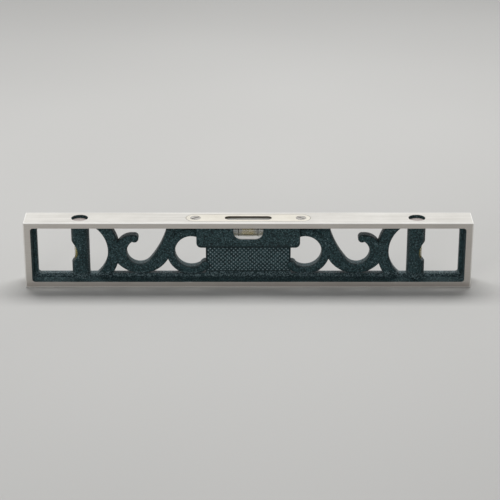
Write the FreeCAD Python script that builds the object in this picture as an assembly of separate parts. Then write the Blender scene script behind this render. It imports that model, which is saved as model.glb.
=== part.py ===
import FreeCAD, Part
import math
import os
from FreeCAD import Vector

# A cast-iron machinist's level. One casting carries everything: four ground rails round a thinner
# web, scrollwork between the posts and the middle, a post at each end for an upright vial, and a boss
# at the middle for the main vial, which lies in a bed under a screwed cover plate.
# Millimetres. X runs along the level, -Y is the front, Z is up, and the origin is the middle of
# the base.

# Overall size of the casting.
LENGTH = 457.2
HEIGHT = 71.4
DEPTH = 28.6
EDGE_BREAK = 0.5          # chamfer on the ground outer edges

# Rails: thickness at their ground edge, and the draft of their inner faces.
RAIL = 6.0
END_RAIL = 7.0
DRAFT_DEG = 10.0
POCKET_CORNER = 3.0

# Web and the rim that it leaves round the openings.
WEB = 8.0
RIM_BOTTOM = 11.4         # base to the openings
RIM_TOP = 10.4            # top face down to the openings
RIM_END = 12.4            # end face to the openings
OPENING_CORNER = 2.5
RIM_ROUNDING = 1.6

# Scrollwork: thicker than the web, with rounded edges.
SCROLL = 12.0
SCROLL_ROUNDING = 2.5

# Posts for the upright vials, and the window in the outer side of each.
POST_X = 172.0
POST_RADIUS = 9.25
WINDOW_SCOOP = 13.0       # radius of the scoop that opens the window
WINDOW_REACH = 2.7        # how far outside the post's axis the scoop stops
WINDOW_HEIGHT = 35.9      # base to the middle of the window

# Bracket scroll: an arc from rail to rail beside the post.
BRACKET_BELLY_GAP = 28.0  # post's axis to the scroll's edge, at the middle of the opening
BRACKET_END_GAP = 13.5    # and at its head and foot
BRACKET_WIDTH = 12.0
BRACKET_END_WIDTH = 17.3
BRACKET_FOOT = 2.5        # how far its ends run over the rim, above and below

# Hook scroll: a ball end, a small round eye, a wide bowl under it and a limb up to the top rail.
EYE_GAP = 60.7            # post's axis to the eye's middle
EYE_HEIGHT = 35.5
EYE_RADIUS = 13.3
EYE_END_DEG = 50.0        # where the eye's edge opens into the limb
LIMB_RADIUS = 90.0
BALL_RADIUS = 3.9
BALL_SWELL = 0.3          # how far the ball stands out past the crown's edge
BALL_STANDOFF = 2.0       # ball's middle outside the eye's edge
BALL_DEG = 70.0           # ball's place round the eye
CROWN_RADIUS = 16.9       # the outer edge over the eye, from the ball to the bracket
CROWN_BALL_DEG = 102.4    # where the crown's edge meets the ball
CROWN_ROOT_DEG = 29.0     # where it runs into the bracket
BOWL_SHIFT = 1.3          # bowl's middle, from the eye's middle towards the level's middle
BOWL_RISE = 8.0           # and above it
BOWL_RADIUS = 32.0
BOWL_END_DEG = 12.0       # where the bowl's edge runs straight up the limb

# Ring scroll beside the checkered panel, with a ball end over the panel's corner.
RING_GAP = 14.8           # panel's edge to the ring's middle
RING_HEIGHT = 35.9
RING_INNER = 16.8
RING_WIDTH = 8.7
RING_BALL_RADIUS = 5.2
RING_BALL_DEG = -132.0    # where the ball end lies, round the ring
RING_START_DEG = 100.0    # where the ring leaves the boss

# Checkered panel under the boss.
PANEL_HALF = 43.5
PANEL = 9.0
PANEL_FIELD = 7.0         # thickness left between the two checkered fields
PANEL_BORDER = 1.6        # plain border beside each field
PANEL_FOOT = 3.6          # and below it

# Boss for the main vial.
BOSS_HALF = 53.0
BOSS_DROP = 29.4          # top face down to the boss's underside
BOSS = 21.6
BOSS_CORNER = 5.0
BOSS_ROUNDING = 2.4

# Window in the front of the boss.
SIGHT_HALF = 15.3
SIGHT_DROP = 20.2         # top face down to the window's sill
SIGHT_CORNER = 8.5
SIGHT_BEVEL = 2.6         # how much wider the window is at the boss's face
SIGHT_BEVEL_DEPTH = 1.4

# Cover plate, let in flush with the top face.
PLATE_LENGTH = 127.3
PLATE_WIDTH = 19.0
PLATE = 2.4
PLATE_GAP = 0.15
SLOT_LENGTH = 48.0
SLOT_WIDTH = 9.6

# Screws of the cover plate.
SCREW_X = 53.8
SCREW_HEAD_RADIUS = 5.2
SCREW_HEAD_EDGE = 0.5
SCREW_HEAD = 2.0
SCREW_SHANK_RADIUS = 2.1
SCREW_LENGTH = 8.6
SCREW_GAP = 0.08
SCREWDRIVER_SLOT = 1.3
SCREWDRIVER_DEPTH = 1.0
SCREWDRIVER_TURN_DEG = 38.0

# Main vial: a sealed glass tube, its spirit, its bubble, and the white bed that holds it.
VIAL_DROP = 13.6          # top face down to the vial's axis
VIAL_RADIUS = 6.4
VIAL_BORE = 5.2
VIAL_LENGTH = 50.0
VIAL_END = 2.6            # glass at the vial's sealed ends
VIAL_END_ROUNDING = 1.2
BUBBLE_LENGTH = 16.0
BUBBLE_DEPTH = 3.4
SPIRIT_FILM = 0.05        # gap drawn between glass and spirit, and between spirit and bubble
BUBBLE_GAP = 0.12         # bubble to glass
BED_END = 5.0             # bed past each end of the vial
BED_WIDTH = 16.6
BED_FLOOR = 1.9           # bed under the vial
BED_GAP = 0.2             # bed to the casting
BED_TOP_GAP = 0.3         # bed to the cover plate
BED_SEAT_GAP = 0.1        # vial to its trough
BED_SILL = 2.4            # height of the bed's front lip above the vial's underside
PAD_GAP = 0.1

# Upright vials in the posts, on a seat and under a packing and a plug.
PLUMB_LENGTH = 43.0
PLUMB_SEAT = 2.4
PLUMB_FLOOR = 12.0        # base to the bottom of the bore
PLUMB_BORE_GAP = 0.2
PLUMB_BUBBLE = 3.0        # height of the gas above the spirit
PLUMB_MENISCUS = 0.4
PLUG_HOLE_RADIUS = 8.6
PLUG_RECESS = 3.3         # top face down to the plug
PLUG = 2.4
PLUG_GAP = 0.1
PLUG_EDGE = 0.5
PACKING_GAP = 0.1

UP = Vector(0, 0, 1)
ALONG = Vector(1, 0, 0)
BACK = Vector(0, 1, 0)
OVERSHOOT = 2.0           # how far a cutting tool runs past the face that it opens
LARGEST_FILLET = 0.98     # share of a wall that a fillet may take
TOUCH = 1e-3              # how near two places are to count as the same

MIDDLE = Vector(0, 0, 0)
INNER_HEIGHT = HEIGHT - RAIL
EYE_X = POST_X - EYE_GAP
BOWL_X = EYE_X - BOWL_SHIFT
BOWL_HEIGHT = EYE_HEIGHT + BOWL_RISE
RING_X = PANEL_HALF + RING_GAP
VIAL_HEIGHT = HEIGHT - VIAL_DROP
BED_LENGTH = VIAL_LENGTH + 2 * BED_END
PLUG_TOP = HEIGHT - PLUG_RECESS
HOLLOW_ROUNDING = 0.45 * VIAL_BORE


def block(x_half, y_half, low, high):
    """A box centred on X and Y, between two heights."""
    return Part.makeBox(2 * x_half, 2 * y_half, high - low, Vector(-x_half, -y_half, low))


def prism(wire, depth):
    """The outline in the XZ plane, made into a solid of this depth centred on Y."""
    face = Part.Face(wire)
    face.translate(Vector(0, -depth / 2, 0))
    return face.extrude(Vector(0, depth, 0))


def point(x, height):
    """A point of an outline in the XZ plane."""
    return Vector(x, 0, height)


def on_circle(x, height, radius, degrees):
    """The point of a circle at an angle from +X towards +Z."""
    angle = math.radians(degrees)
    return point(x + radius * math.cos(angle), height + radius * math.sin(angle))


def arc(start, middle, end):
    """An arc through three points."""
    return Part.Arc(start, middle, end).toShape()


def line(start, end):
    """A straight edge."""
    return Part.LineSegment(start, end).toShape()


def rounded_rectangle(x_low, x_high, low, high, radius, y=0.0):
    """A rectangle with rounded corners in the XZ plane at this Y."""
    bend = radius * (1 - math.sqrt(0.5))
    edges = [
        line(Vector(x_low + radius, y, low), Vector(x_high - radius, y, low)),
        arc(Vector(x_high - radius, y, low), Vector(x_high - bend, y, low + bend),
            Vector(x_high, y, low + radius)),
        line(Vector(x_high, y, low + radius), Vector(x_high, y, high - radius)),
        arc(Vector(x_high, y, high - radius), Vector(x_high - bend, y, high - bend),
            Vector(x_high - radius, y, high)),
        line(Vector(x_high - radius, y, high), Vector(x_low + radius, y, high)),
        arc(Vector(x_low + radius, y, high), Vector(x_low + bend, y, high - bend),
            Vector(x_low, y, high - radius)),
        line(Vector(x_low, y, high - radius), Vector(x_low, y, low + radius)),
        arc(Vector(x_low, y, low + radius), Vector(x_low + bend, y, low + bend),
            Vector(x_low + radius, y, low)),
    ]
    return Part.Wire(edges)


def level_slot(length, width, low, high):
    """A slot with round ends, long in X, between two heights."""
    radius = width / 2
    run = length / 2 - radius
    body = block(run, radius, low, high)
    for x in (-run, run):
        body = body.fuse(Part.makeCylinder(radius, high - low, Vector(x, 0, low)))
    return body.removeSplitter()


def face_edges(solid, half_depth):
    """The edges that bound a prism's front and back faces."""
    found = []
    for edge in solid.Edges:
        box = edge.BoundBox
        flat = box.YLength < TOUCH
        if flat and abs(abs(box.YMin) - half_depth) < TOUCH:
            found.append(edge)
    return found


def rims(body):
    """The full circles on a turned body."""
    return [edge for edge in body.Edges if len(edge.Vertexes) == 1]


def rims_at(body, height):
    """The full circles of an upright turned body that lie at this height."""
    return [edge for edge in rims(body) if abs(edge.CenterOfMass.z - height) < TOUCH]


def rounded_prism(wire, depth, rounding):
    """A prism whose front and back edges are rounded."""
    solid = prism(wire, depth)
    return solid.makeFillet(rounding, face_edges(solid, depth / 2))


def scroll_prism(rounded, hidden):
    """A scroll from the edges of its outline, rounded except along those that another form hides."""
    solid = prism(Part.Wire(Part.__sortEdges__(rounded + hidden)), SCROLL)
    sharp = [edge.CenterOfMass for edge in hidden]
    edges = []
    for edge in face_edges(solid, SCROLL / 2):
        centre = edge.CenterOfMass
        if min(math.hypot(centre.x - mark.x, centre.z - mark.z) for mark in sharp) > TOUCH:
            edges.append(edge)
    return solid.makeFillet(SCROLL_ROUNDING, edges)


def scroll_ball(place, radius):
    """The round end of a scroll."""
    outline = Part.Wire(Part.Circle(place, BACK, radius).toShape())
    return rounded_prism(outline, SCROLL, SCROLL_ROUNDING)


def mirrored(shape):
    """The same shape on the left half."""
    return shape.mirror(MIDDLE, ALONG)


def rails():
    """The outer frame: the ground rails, with a drafted pocket in each side down to the web."""
    body = block(LENGTH / 2, DEPTH / 2, 0, HEIGHT)
    body = body.makeChamfer(EDGE_BREAK, body.Edges)
    lean = (DEPTH - WEB) / 2 * math.tan(math.radians(DRAFT_DEG))
    inner = LENGTH / 2 - END_RAIL
    for side in (-1, 1):
        mouth = rounded_rectangle(-inner, inner, RAIL, INNER_HEIGHT, POCKET_CORNER, side * DEPTH / 2)
        floor = rounded_rectangle(-inner + lean, inner - lean, RAIL + lean, INNER_HEIGHT - lean,
                                  POCKET_CORNER, side * WEB / 2)
        body = body.cut(Part.makeLoft([mouth, floor], True, True))
    return body.removeSplitter()


def opening():
    """The hole in the web on the right half, from the panel to the end rim, with rounded edges."""
    outline = rounded_rectangle(PANEL_HALF, LENGTH / 2 - RIM_END, RIM_BOTTOM, HEIGHT - RIM_TOP,
                                OPENING_CORNER)
    hole = prism(outline, WEB)
    grown = rounded_rectangle(PANEL_HALF - RIM_ROUNDING, LENGTH / 2 - RIM_END + RIM_ROUNDING,
                              RIM_BOTTOM - RIM_ROUNDING, HEIGHT - RIM_TOP + RIM_ROUNDING,
                              OPENING_CORNER + RIM_ROUNDING)
    flare = prism(grown, WEB)
    rim = flare.cut(hole)
    inner_edges = []
    for edge in rim.Edges:
        box = edge.BoundBox
        flat = box.YLength < TOUCH
        inside = box.XMin > PANEL_HALF - TOUCH and box.ZMin > RIM_BOTTOM - TOUCH
        inside = inside and box.XMax < LENGTH / 2 - RIM_END + TOUCH
        inside = inside and box.ZMax < HEIGHT - RIM_TOP + TOUCH
        if flat and inside:
            inner_edges.append(edge)
    return flare.cut(rim.makeFillet(RIM_ROUNDING * LARGEST_FILLET, inner_edges))


def bracket():
    """The bracket scroll: an arc that bulges towards the middle, cut level at its head and foot."""
    foot = RIM_BOTTOM - BRACKET_FOOT
    head = HEIGHT - RIM_TOP + BRACKET_FOOT
    middle = (foot + head) / 2
    inner_end = POST_X - BRACKET_END_GAP
    inner_belly = POST_X - BRACKET_BELLY_GAP
    outer_end = inner_end - BRACKET_END_WIDTH
    outer_belly = inner_belly - BRACKET_WIDTH
    outline = Part.Wire([
        arc(point(inner_end, head), point(inner_belly, middle), point(inner_end, foot)),
        line(point(inner_end, foot), point(outer_end, foot)),
        arc(point(outer_end, foot), point(outer_belly, middle), point(outer_end, head)),
        line(point(outer_end, head), point(inner_end, head)),
    ])
    return rounded_prism(outline, SCROLL, SCROLL_ROUNDING)


def hook():
    """The hook scroll. Its left side runs inside the bracket scroll, which it springs from."""
    ball = on_circle(EYE_X, EYE_HEIGHT, EYE_RADIUS + BALL_STANDOFF, BALL_DEG)
    crown = on_circle(ball.x, ball.z, CROWN_RADIUS - BALL_RADIUS, CROWN_BALL_DEG + 180)
    eye_start = on_circle(EYE_X, EYE_HEIGHT, EYE_RADIUS, BALL_DEG)
    eye_low = on_circle(EYE_X, EYE_HEIGHT, EYE_RADIUS, -45)
    eye_end = on_circle(EYE_X, EYE_HEIGHT, EYE_RADIUS, -90 - EYE_END_DEG)

    limb = on_circle(EYE_X, EYE_HEIGHT, LIMB_RADIUS - EYE_RADIUS, 90 - EYE_END_DEG)
    limb_mid = on_circle(limb.x, limb.z, LIMB_RADIUS, -135 - EYE_END_DEG / 2)
    limb_top = on_circle(limb.x, limb.z, LIMB_RADIUS, -180)

    bowl_end = on_circle(BOWL_X, BOWL_HEIGHT, BOWL_RADIUS, 180 + BOWL_END_DEG)
    rise = limb_top.z - bowl_end.z
    bowl_top = point(bowl_end.x - rise * math.tan(math.radians(BOWL_END_DEG)), limb_top.z)
    bowl_low = on_circle(BOWL_X, BOWL_HEIGHT, BOWL_RADIUS, -90)
    bowl_side = on_circle(BOWL_X, BOWL_HEIGHT, BOWL_RADIUS, 0)

    crown_root = on_circle(crown.x, crown.z, CROWN_RADIUS, CROWN_ROOT_DEG)
    crown_mid = on_circle(crown.x, crown.z, CROWN_RADIUS, (CROWN_ROOT_DEG + CROWN_BALL_DEG) / 2)
    crown_end = on_circle(crown.x, crown.z, CROWN_RADIUS, CROWN_BALL_DEG)

    rounded = [
        arc(eye_start, eye_low, eye_end),
        arc(eye_end, limb_mid, limb_top),
        line(bowl_top, bowl_end),
        arc(bowl_end, bowl_low, bowl_side),
        arc(crown_root, crown_mid, crown_end),
    ]
    hidden = [line(limb_top, bowl_top), line(bowl_side, crown_root), line(crown_end, eye_start)]
    return scroll_prism(rounded, hidden).fuse(scroll_ball(ball, BALL_RADIUS + BALL_SWELL))


def ring():
    """The ring scroll: an open ring from the boss, round the far side and under, to its ball end."""
    turns = (RING_START_DEG, (RING_START_DEG + RING_BALL_DEG) / 2, RING_BALL_DEG)
    inner = [on_circle(RING_X, RING_HEIGHT, RING_INNER, a) for a in turns]
    outer = [on_circle(RING_X, RING_HEIGHT, RING_INNER + RING_WIDTH, a) for a in turns]
    rounded = [arc(*inner), arc(*reversed(outer))]
    hidden = [line(inner[2], outer[2]), line(outer[0], inner[0])]
    ball = on_circle(RING_X, RING_HEIGHT, RING_INNER + RING_WIDTH / 2, RING_BALL_DEG)
    return scroll_prism(rounded, hidden).fuse(scroll_ball(ball, RING_BALL_RADIUS))


def gusset():
    """The web between the ring, the limb of the hook and the top rail."""
    outline = rounded_rectangle(PANEL_HALF - OPENING_CORNER, RING_X + RING_INNER + RING_WIDTH,
                                RING_HEIGHT + RING_INNER / 2, INNER_HEIGHT, OPENING_CORNER)
    eye = Part.makeCylinder(RING_INNER, WEB, Vector(RING_X, -WEB / 2, RING_HEIGHT), BACK)
    return prism(outline, WEB).cut(eye)


def scrolls():
    """All the scrollwork of the right half, cut off inside the rails."""
    body = bracket().fuse([hook(), ring(), gusset()])
    inside = block(LENGTH / 2, DEPTH / 2, RAIL, INNER_HEIGHT)
    return body.common(inside)


def post():
    """The post for an upright vial, on the right half."""
    return Part.makeCylinder(POST_RADIUS, HEIGHT - 2 * RAIL, Vector(POST_X, 0, RAIL))


def panel():
    """The checkered panel between the rings, with a shallow field in each side."""
    low = RIM_BOTTOM - 2 * RIM_ROUNDING
    high = HEIGHT - BOSS_DROP + BOSS_CORNER
    body = block(PANEL_HALF, PANEL / 2, low, high)
    field_half = PANEL_HALF - PANEL_BORDER
    for side in (-1, 1):
        field = block(field_half, (PANEL - PANEL_FIELD) / 4, RIM_BOTTOM + PANEL_FOOT, high)
        field.translate(Vector(0, side * (PANEL + PANEL_FIELD) / 4, 0))
        body = body.cut(field)
    return body


def boss():
    """The boss for the main vial, hung from the top rail."""
    low = HEIGHT - BOSS_DROP
    outline = rounded_rectangle(-BOSS_HALF, BOSS_HALF, low, HEIGHT + BOSS_CORNER, BOSS_CORNER)
    body = rounded_prism(outline, BOSS, BOSS_ROUNDING)
    return body.common(block(LENGTH / 2, DEPTH / 2, 0, INNER_HEIGHT))


def sight():
    """The cutter for the window in the front of the boss, with its bevelled edge."""
    low = HEIGHT - SIGHT_DROP
    face_y = -BOSS / 2
    high = INNER_HEIGHT + SIGHT_CORNER
    hole = rounded_rectangle(-SIGHT_HALF, SIGHT_HALF, low, high, SIGHT_CORNER)
    straight = Part.Face(hole)
    straight.translate(Vector(0, face_y - OVERSHOOT, 0))
    straight = straight.extrude(Vector(0, BOSS / 2 + OVERSHOOT, 0))
    wide = rounded_rectangle(-SIGHT_HALF - SIGHT_BEVEL, SIGHT_HALF + SIGHT_BEVEL, low - SIGHT_BEVEL,
                             high + SIGHT_BEVEL, SIGHT_CORNER + SIGHT_BEVEL, face_y)
    narrow = rounded_rectangle(-SIGHT_HALF, SIGHT_HALF, low, high, SIGHT_CORNER,
                               face_y + SIGHT_BEVEL_DEPTH)
    bevel = Part.makeLoft([wide, narrow], True, True)
    below_rail = block(LENGTH / 2, DEPTH, 0, INNER_HEIGHT)
    return straight.fuse(bevel).common(below_rail)


def bed_floor_height():
    """The underside of the bed."""
    return VIAL_HEIGHT - VIAL_RADIUS - BED_SEAT_GAP - BED_FLOOR


def plate_pocket():
    """The cutter for the cover plate's recess, the bed's pocket and the screw holes."""
    recess_floor = HEIGHT - PLATE
    body = level_slot(PLATE_LENGTH + 2 * PLATE_GAP, PLATE_WIDTH + 2 * PLATE_GAP, recess_floor,
                      HEIGHT + OVERSHOOT)
    pocket = block(BED_LENGTH / 2 + BED_GAP, BED_WIDTH / 2 + BED_GAP, bed_floor_height() - BED_GAP,
                   recess_floor + OVERSHOOT / 2)
    body = body.fuse(pocket)
    for x in (-SCREW_X, SCREW_X):
        body = body.fuse(Part.makeCylinder(SCREW_SHANK_RADIUS + SCREW_GAP, SCREW_LENGTH + OVERSHOOT / 2,
                                           Vector(x, 0, HEIGHT - SCREW_LENGTH - SCREW_GAP)))
    return body


def plumb_bore():
    """The cutter for the right post: its bore, the plug's hole and the window."""
    plug_floor = PLUG_TOP - PLUG
    body = Part.makeCylinder(VIAL_RADIUS + PLUMB_BORE_GAP, plug_floor - PLUMB_FLOOR,
                             Vector(POST_X, 0, PLUMB_FLOOR))
    hole = Part.makeCylinder(PLUG_HOLE_RADIUS, HEIGHT + OVERSHOOT - plug_floor,
                             Vector(POST_X, 0, plug_floor))
    centre = POST_X + WINDOW_REACH + WINDOW_SCOOP
    scoop = Part.makeCylinder(WINDOW_SCOOP, 2 * POST_RADIUS + OVERSHOOT,
                              Vector(centre, -POST_RADIUS - OVERSHOOT / 2, WINDOW_HEIGHT), BACK)
    return body.fuse([hole, scoop])


def frame_casting():
    """The whole casting, with its machined pockets and bores."""
    body = rails().cut([opening(), mirrored(opening())])
    right = scrolls().fuse(post())
    body = body.fuse([right, mirrored(right), panel(), boss()])
    body = body.cut([plate_pocket(), sight(), plumb_bore(), mirrored(plumb_bore())])
    return body.removeSplitter()


def screw_profile(gap):
    """A cover screw, grown all round by a gap, at the middle of the top face."""
    head = SCREW_HEAD_RADIUS + gap
    shank = SCREW_SHANK_RADIUS + gap
    outline = Part.makePolygon([
        Vector(0, 0, HEIGHT + gap),
        Vector(head, 0, HEIGHT + gap),
        Vector(head, 0, HEIGHT - SCREW_HEAD_EDGE),
        Vector(shank, 0, HEIGHT - SCREW_HEAD - gap),
        Vector(shank, 0, HEIGHT - SCREW_LENGTH - gap),
        Vector(0, 0, HEIGHT - SCREW_LENGTH - gap),
        Vector(0, 0, HEIGHT + gap),
    ])
    return Part.Face(outline).revolve(MIDDLE, UP, 360)


def cover_plate():
    """The flush cover plate, with its sight slot and two countersunk holes."""
    body = level_slot(PLATE_LENGTH, PLATE_WIDTH, HEIGHT - PLATE + PLATE_GAP, HEIGHT)
    sight_slot = level_slot(SLOT_LENGTH, SLOT_WIDTH, HEIGHT - PLATE - OVERSHOOT, HEIGHT + OVERSHOOT)
    body = body.cut(sight_slot)
    for x in (-SCREW_X, SCREW_X):
        hole = screw_profile(SCREW_GAP)
        hole.translate(Vector(x, 0, 0))
        body = body.cut(hole)
    return body


def cover_screw(x, turn_deg):
    """One countersunk screw, with its driver slot turned to where it was tightened."""
    body = screw_profile(0)
    reach = 2 * SCREW_HEAD_RADIUS
    slot = Part.makeBox(2 * reach, SCREWDRIVER_SLOT, SCREWDRIVER_DEPTH + OVERSHOOT,
                        Vector(-reach, -SCREWDRIVER_SLOT / 2, HEIGHT - SCREWDRIVER_DEPTH))
    slot.rotate(MIDDLE, UP, turn_deg)
    body = body.cut(slot)
    body.translate(Vector(x, 0, 0))
    return body


def sealed_tube(length):
    """A glass vial standing on the origin, sealed at both ends round its hollow."""
    glass = Part.makeCylinder(VIAL_RADIUS, length)
    glass = glass.makeFillet(VIAL_END_ROUNDING, rims(glass))
    return glass.cut(hollow(length))


def hollow(length, film=0.0):
    """The space inside a vial that stands on the origin, or its filling, a film's width smaller."""
    end = VIAL_END + film
    space = Part.makeCylinder(VIAL_BORE - film, length - 2 * end, Vector(0, 0, end))
    return space.makeFillet(HOLLOW_ROUNDING, rims(space))


def laid(shape, length):
    """A standing vial piece, laid along X at the main vial's place."""
    shape.rotate(MIDDLE, BACK, 90)
    shape.translate(Vector(-length / 2, 0, VIAL_HEIGHT))
    return shape


def bubble_sphere_radius():
    """The radius of the bubble's underside, from its length and depth."""
    return ((BUBBLE_LENGTH / 2) ** 2 + BUBBLE_DEPTH ** 2) / (2 * BUBBLE_DEPTH)


def bubble_shape(grow):
    """The main bubble: the top of the bore, down to a shallow round underside."""
    radius = bubble_sphere_radius()
    roof = VIAL_HEIGHT + VIAL_BORE - BUBBLE_GAP
    centre = Vector(0, 0, roof - BUBBLE_DEPTH + radius)
    ball = Part.makeSphere(radius + grow, centre)
    tube = Part.makeCylinder(VIAL_BORE - BUBBLE_GAP + grow, 2 * BUBBLE_LENGTH,
                             Vector(-BUBBLE_LENGTH, 0, VIAL_HEIGHT), ALONG)
    return ball.common(tube)


def main_spirit():
    """The spirit of the main vial, with the bubble's place left free."""
    spirit = laid(hollow(VIAL_LENGTH, SPIRIT_FILM), VIAL_LENGTH)
    return spirit.cut(bubble_shape(SPIRIT_FILM + BUBBLE_GAP))


def main_bed():
    """The white bed: a block with a trough for the vial, open above, with a low lip at the window."""
    low = bed_floor_height()
    high = HEIGHT - PLATE + PLATE_GAP - BED_TOP_GAP
    body = block(BED_LENGTH / 2, BED_WIDTH / 2, low, high)
    trough_radius = VIAL_RADIUS + BED_SEAT_GAP
    half = pad_outer()
    trough = Part.makeCylinder(trough_radius, 2 * half, Vector(-half, 0, VIAL_HEIGHT), ALONG)
    shaft = block(half, trough_radius, VIAL_HEIGHT, high + OVERSHOOT)
    lip_height = VIAL_HEIGHT - VIAL_RADIUS + BED_SILL
    front = Part.makeBox(2 * SIGHT_HALF, BED_WIDTH / 2 + OVERSHOOT, high + OVERSHOOT - lip_height,
                         Vector(-SIGHT_HALF, -BED_WIDTH / 2 - OVERSHOOT, lip_height))
    return body.cut([trough, shaft, front]).removeSplitter()


def pad_outer():
    """How far from the middle the trough and the pads at the vial's ends reach."""
    return BED_LENGTH / 2 - BED_FLOOR


def main_pad(side):
    """The packing between one end of the main vial and the end of its trough."""
    start = VIAL_LENGTH / 2 + PAD_GAP
    length = pad_outer() - PAD_GAP - start
    place = Vector(start if side > 0 else -start - length, 0, VIAL_HEIGHT)
    return Part.makeCylinder(VIAL_RADIUS, length, place, ALONG)


def plumb_base():
    """The height of the underside of an upright vial."""
    return PLUMB_FLOOR + PLUMB_SEAT + PACKING_GAP


def plumb_glass():
    """The upright vial's glass, at the right post."""
    glass = sealed_tube(PLUMB_LENGTH)
    glass.translate(Vector(POST_X, 0, plumb_base()))
    return glass


def plumb_bubble():
    """The bubble of the upright vial, risen to its top end."""
    radius = VIAL_BORE - BUBBLE_GAP
    roof = plumb_base() + PLUMB_LENGTH - VIAL_END - BUBBLE_GAP
    floor = roof - PLUMB_BUBBLE
    body = Part.makeCylinder(radius, PLUMB_BUBBLE, Vector(POST_X, 0, floor))
    body = body.makeFillet(HOLLOW_ROUNDING, rims_at(body, roof))
    return body.makeFillet(PLUMB_MENISCUS, rims_at(body, floor))


def plumb_spirit():
    """The spirit of the upright vial, below its bubble."""
    base = plumb_base()
    spirit = hollow(PLUMB_LENGTH, SPIRIT_FILM)
    spirit.translate(Vector(POST_X, 0, base))
    gas_floor = base + PLUMB_LENGTH - VIAL_END - BUBBLE_GAP - PLUMB_BUBBLE
    below = Part.makeBox(4 * VIAL_RADIUS, 4 * VIAL_RADIUS, gas_floor - SPIRIT_FILM - base,
                         Vector(POST_X - 2 * VIAL_RADIUS, -2 * VIAL_RADIUS, base))
    return spirit.common(below)


def plumb_seat():
    """The seat at the bottom of the bore."""
    return Part.makeCylinder(VIAL_RADIUS, PLUMB_SEAT, Vector(POST_X, 0, PLUMB_FLOOR))


def plumb_packing():
    """The packing between the upright vial and its plug."""
    low = plumb_base() + PLUMB_LENGTH + PACKING_GAP
    high = PLUG_TOP - PLUG - PACKING_GAP
    return Part.makeCylinder(VIAL_RADIUS, high - low, Vector(POST_X, 0, low))


def plumb_plug():
    """The plug that closes the bore, set below the top face."""
    body = Part.makeCylinder(PLUG_HOLE_RADIUS - PLUG_GAP, PLUG, Vector(POST_X, 0, PLUG_TOP - PLUG))
    return body.makeChamfer(PLUG_EDGE, rims_at(body, PLUG_TOP))


def main_glass():
    """The main vial's glass."""
    return laid(sealed_tube(VIAL_LENGTH), VIAL_LENGTH)


def all_pieces():
    """Every piece of the level, by name."""
    pieces = {
        "frame_casting": frame_casting(),
        "cover_plate": cover_plate(),
        "cover_screw_left": cover_screw(-SCREW_X, SCREWDRIVER_TURN_DEG),
        "cover_screw_right": cover_screw(SCREW_X, -SCREWDRIVER_TURN_DEG),
        "main_vial_bed": main_bed(),
        "main_vial_glass": main_glass(),
        "main_vial_spirit": main_spirit(),
        "main_vial_bubble": bubble_shape(0),
        "main_vial_pad_left": main_pad(-1),
        "main_vial_pad_right": main_pad(1),
    }
    upright = {
        "vial_glass": plumb_glass,
        "vial_spirit": plumb_spirit,
        "vial_bubble": plumb_bubble,
        "vial_seat": plumb_seat,
        "vial_packing": plumb_packing,
        "plug": plumb_plug,
    }
    for name, make in upright.items():
        pieces[f"plumb_{name}_right"] = make()
        pieces[f"plumb_{name}_left"] = mirrored(make())
    return pieces


os.makedirs("parts", exist_ok=True)
for node, shape in all_pieces().items():
    shape.exportStep(f"parts/{node}.step")
    print(f"{node}: {len(shape.Solids)} solid, {shape.Volume / 1000:.2f} cm3, valid {shape.isValid()}")
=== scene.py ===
import logging
import math
from dataclasses import dataclass, field
from enum import Enum

import bpy
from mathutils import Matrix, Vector


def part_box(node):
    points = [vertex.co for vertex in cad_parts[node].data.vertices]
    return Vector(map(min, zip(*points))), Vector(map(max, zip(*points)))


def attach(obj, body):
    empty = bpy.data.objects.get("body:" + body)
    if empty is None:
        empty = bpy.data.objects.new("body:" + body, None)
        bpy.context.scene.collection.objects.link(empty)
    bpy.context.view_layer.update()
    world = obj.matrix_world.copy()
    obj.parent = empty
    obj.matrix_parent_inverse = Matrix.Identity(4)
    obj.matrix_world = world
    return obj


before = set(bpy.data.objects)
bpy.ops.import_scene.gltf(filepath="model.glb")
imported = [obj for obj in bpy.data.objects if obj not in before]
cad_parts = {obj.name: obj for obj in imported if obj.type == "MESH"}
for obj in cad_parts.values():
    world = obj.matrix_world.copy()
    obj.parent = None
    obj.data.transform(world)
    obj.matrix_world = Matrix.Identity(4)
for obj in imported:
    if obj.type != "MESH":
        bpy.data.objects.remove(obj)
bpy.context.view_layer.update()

MM = 0.001
LENGTHWISE = (0.02, 1.0, 1.0)
CROSSWISE = (1.0, 0.03, 1.0)
Colour = tuple[float, float, float, float]
Span = tuple[float, float, float, float]
log = logging.getLogger("machinist_level")


class Side(Enum):
    """The two ends of the level, as the sign of their X."""

    LEFT = -1
    RIGHT = 1

    @property
    def word(self) -> str:
        """The side's name as the nodes spell it."""
        return self.name.lower()


class Face(Enum):
    """The two broad faces of the level, as the sign of their Y."""

    FRONT = -1
    BACK = 1

    @property
    def word(self) -> str:
        """The face's name in lower case."""
        return self.name.lower()


class Lie(Enum):
    """The way a vial lies, as its own direction and one across it."""

    LEVEL = ((1, 0, 0), (0, 0, 1))
    UPRIGHT = ((0, 0, 1), (1, 0, 0))

    @property
    def along(self) -> Vector:
        """The direction of the vial's axis."""
        return Vector(self.value[0])

    @property
    def across(self) -> Vector:
        """A direction square to the vial's axis."""
        return Vector(self.value[1])


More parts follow.
